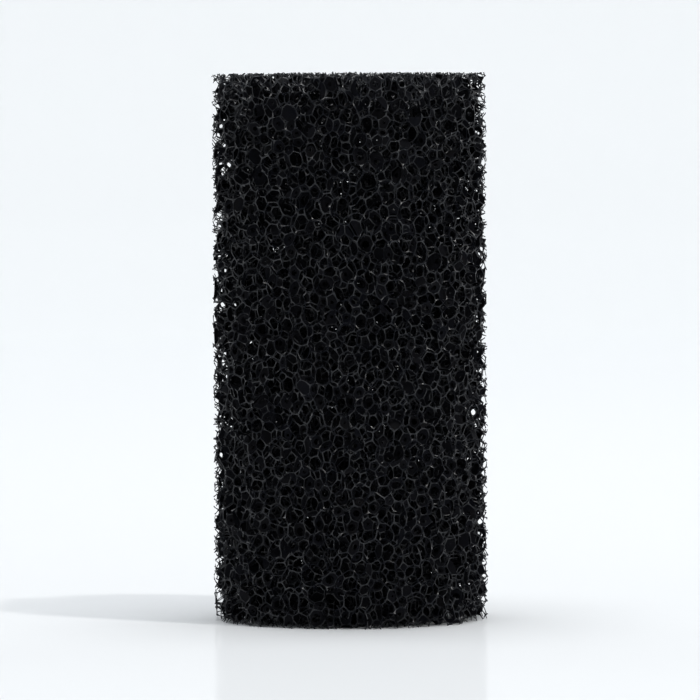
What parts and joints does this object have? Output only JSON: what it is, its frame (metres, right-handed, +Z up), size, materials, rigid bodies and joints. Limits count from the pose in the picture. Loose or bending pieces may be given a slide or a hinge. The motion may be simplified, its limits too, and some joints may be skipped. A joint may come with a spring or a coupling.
{
  "type": "sponge filter",
  "caption": "Upright cylinder of coarse open-cell foam with a round bore for a filter's intake tube, closed at its lower end by a push-out foam plug.",
  "frame": {"origin": "middle of the round base, on the axis of the bore", "axes": "+Z up along the bore's axis, from the closed lower end to the open upper end; X and Y are alike on this round part"},
  "size_m": [0.05, 0.05, 0.1015],
  "materials": {
    "sleeve_foam": "open-cell reticulated polyurethane foam, near black, matt",
    "plug_foam": "open-cell reticulated polyurethane foam, near black, matt"
  },
  "bodies": {
    "sleeve": {"foam_sleeve": "sleeve_foam"},
    "plug": {"end_plug": "plug_foam"}
  },
  "joints": [
    {"name": "plug_slide", "type": "slide", "parent": "sleeve", "child": "plug", "axis": [0, 0, 1], "range_m": [0, 0.108]}
  ]
}
